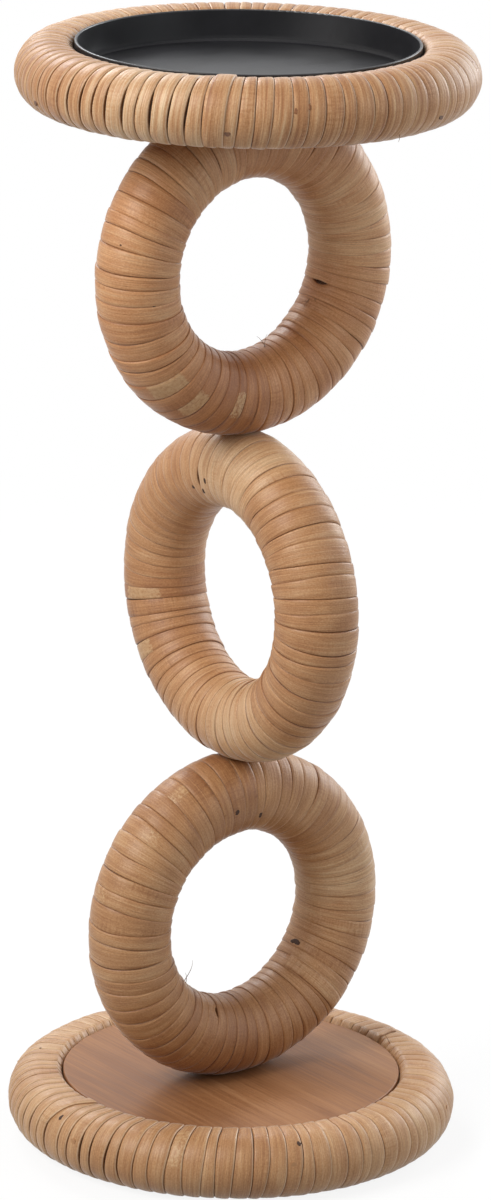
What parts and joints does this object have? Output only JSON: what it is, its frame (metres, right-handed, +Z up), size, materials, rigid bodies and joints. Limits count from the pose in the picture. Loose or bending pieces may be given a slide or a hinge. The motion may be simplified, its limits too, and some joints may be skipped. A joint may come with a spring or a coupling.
{
  "type": "candle stand",
  "caption": "Tall pillar-candle stand: cane-wrapped rings stacked at right angles between a wrapped round base and a wrapped tray that holds a lift-out black metal pan.",
  "frame": {"origin": "middle of the base, on the surface that it stands on", "axes": "+Z up the stand; the lower and upper rings stand in the XZ plane, the middle ring in the YZ plane"},
  "size_m": [0.16, 0.16, 0.3959],
  "materials": {
    "cane": "satin lacquered rattan peel",
    "core_wood": "bare turned wood",
    "veneered_wood": "stained veneer, satin",
    "steel": "plain steel",
    "black_metal": "satin black"
  },
  "bodies": {
    "stand": {"base_hoop": "core_wood", "lower_ring_core": "core_wood", "middle_ring_core": "core_wood", "upper_ring_core": "core_wood", "top_hoop": "core_wood", "base_cane_1": "cane", "base_cane_2": "cane", "base_cane_3": "cane", "base_cane_4": "cane", "lower_ring_cane_1": "cane", "lower_ring_cane_2": "cane", "lower_ring_cane_3": "cane", "lower_ring_cane_4": "cane", "middle_ring_cane_1": "cane", "middle_ring_cane_2": "cane", "middle_ring_cane_3": "cane", "middle_ring_cane_4": "cane", "upper_ring_cane_1": "cane", "upper_ring_cane_2": "cane", "upper_ring_cane_3": "cane", "upper_ring_cane_4": "cane", "top_cane_1": "cane", "top_cane_2": "cane", "top_cane_3": "cane", "top_cane_4": "cane", "base_plate": "veneered_wood", "top_plate": "veneered_wood", "base_screw": "steel", "top_screw": "steel", "lower_stud": "steel", "upper_stud": "steel", "base_brads": "steel", "top_brads": "steel"},
    "pan": {"candle_pan": "black_metal"}
  },
  "joints": [
    {"name": "pan_lift", "type": "slide", "parent": "stand", "child": "pan", "axis": [0, 0, 1], "range_m": [0, 0.06]}
  ]
}
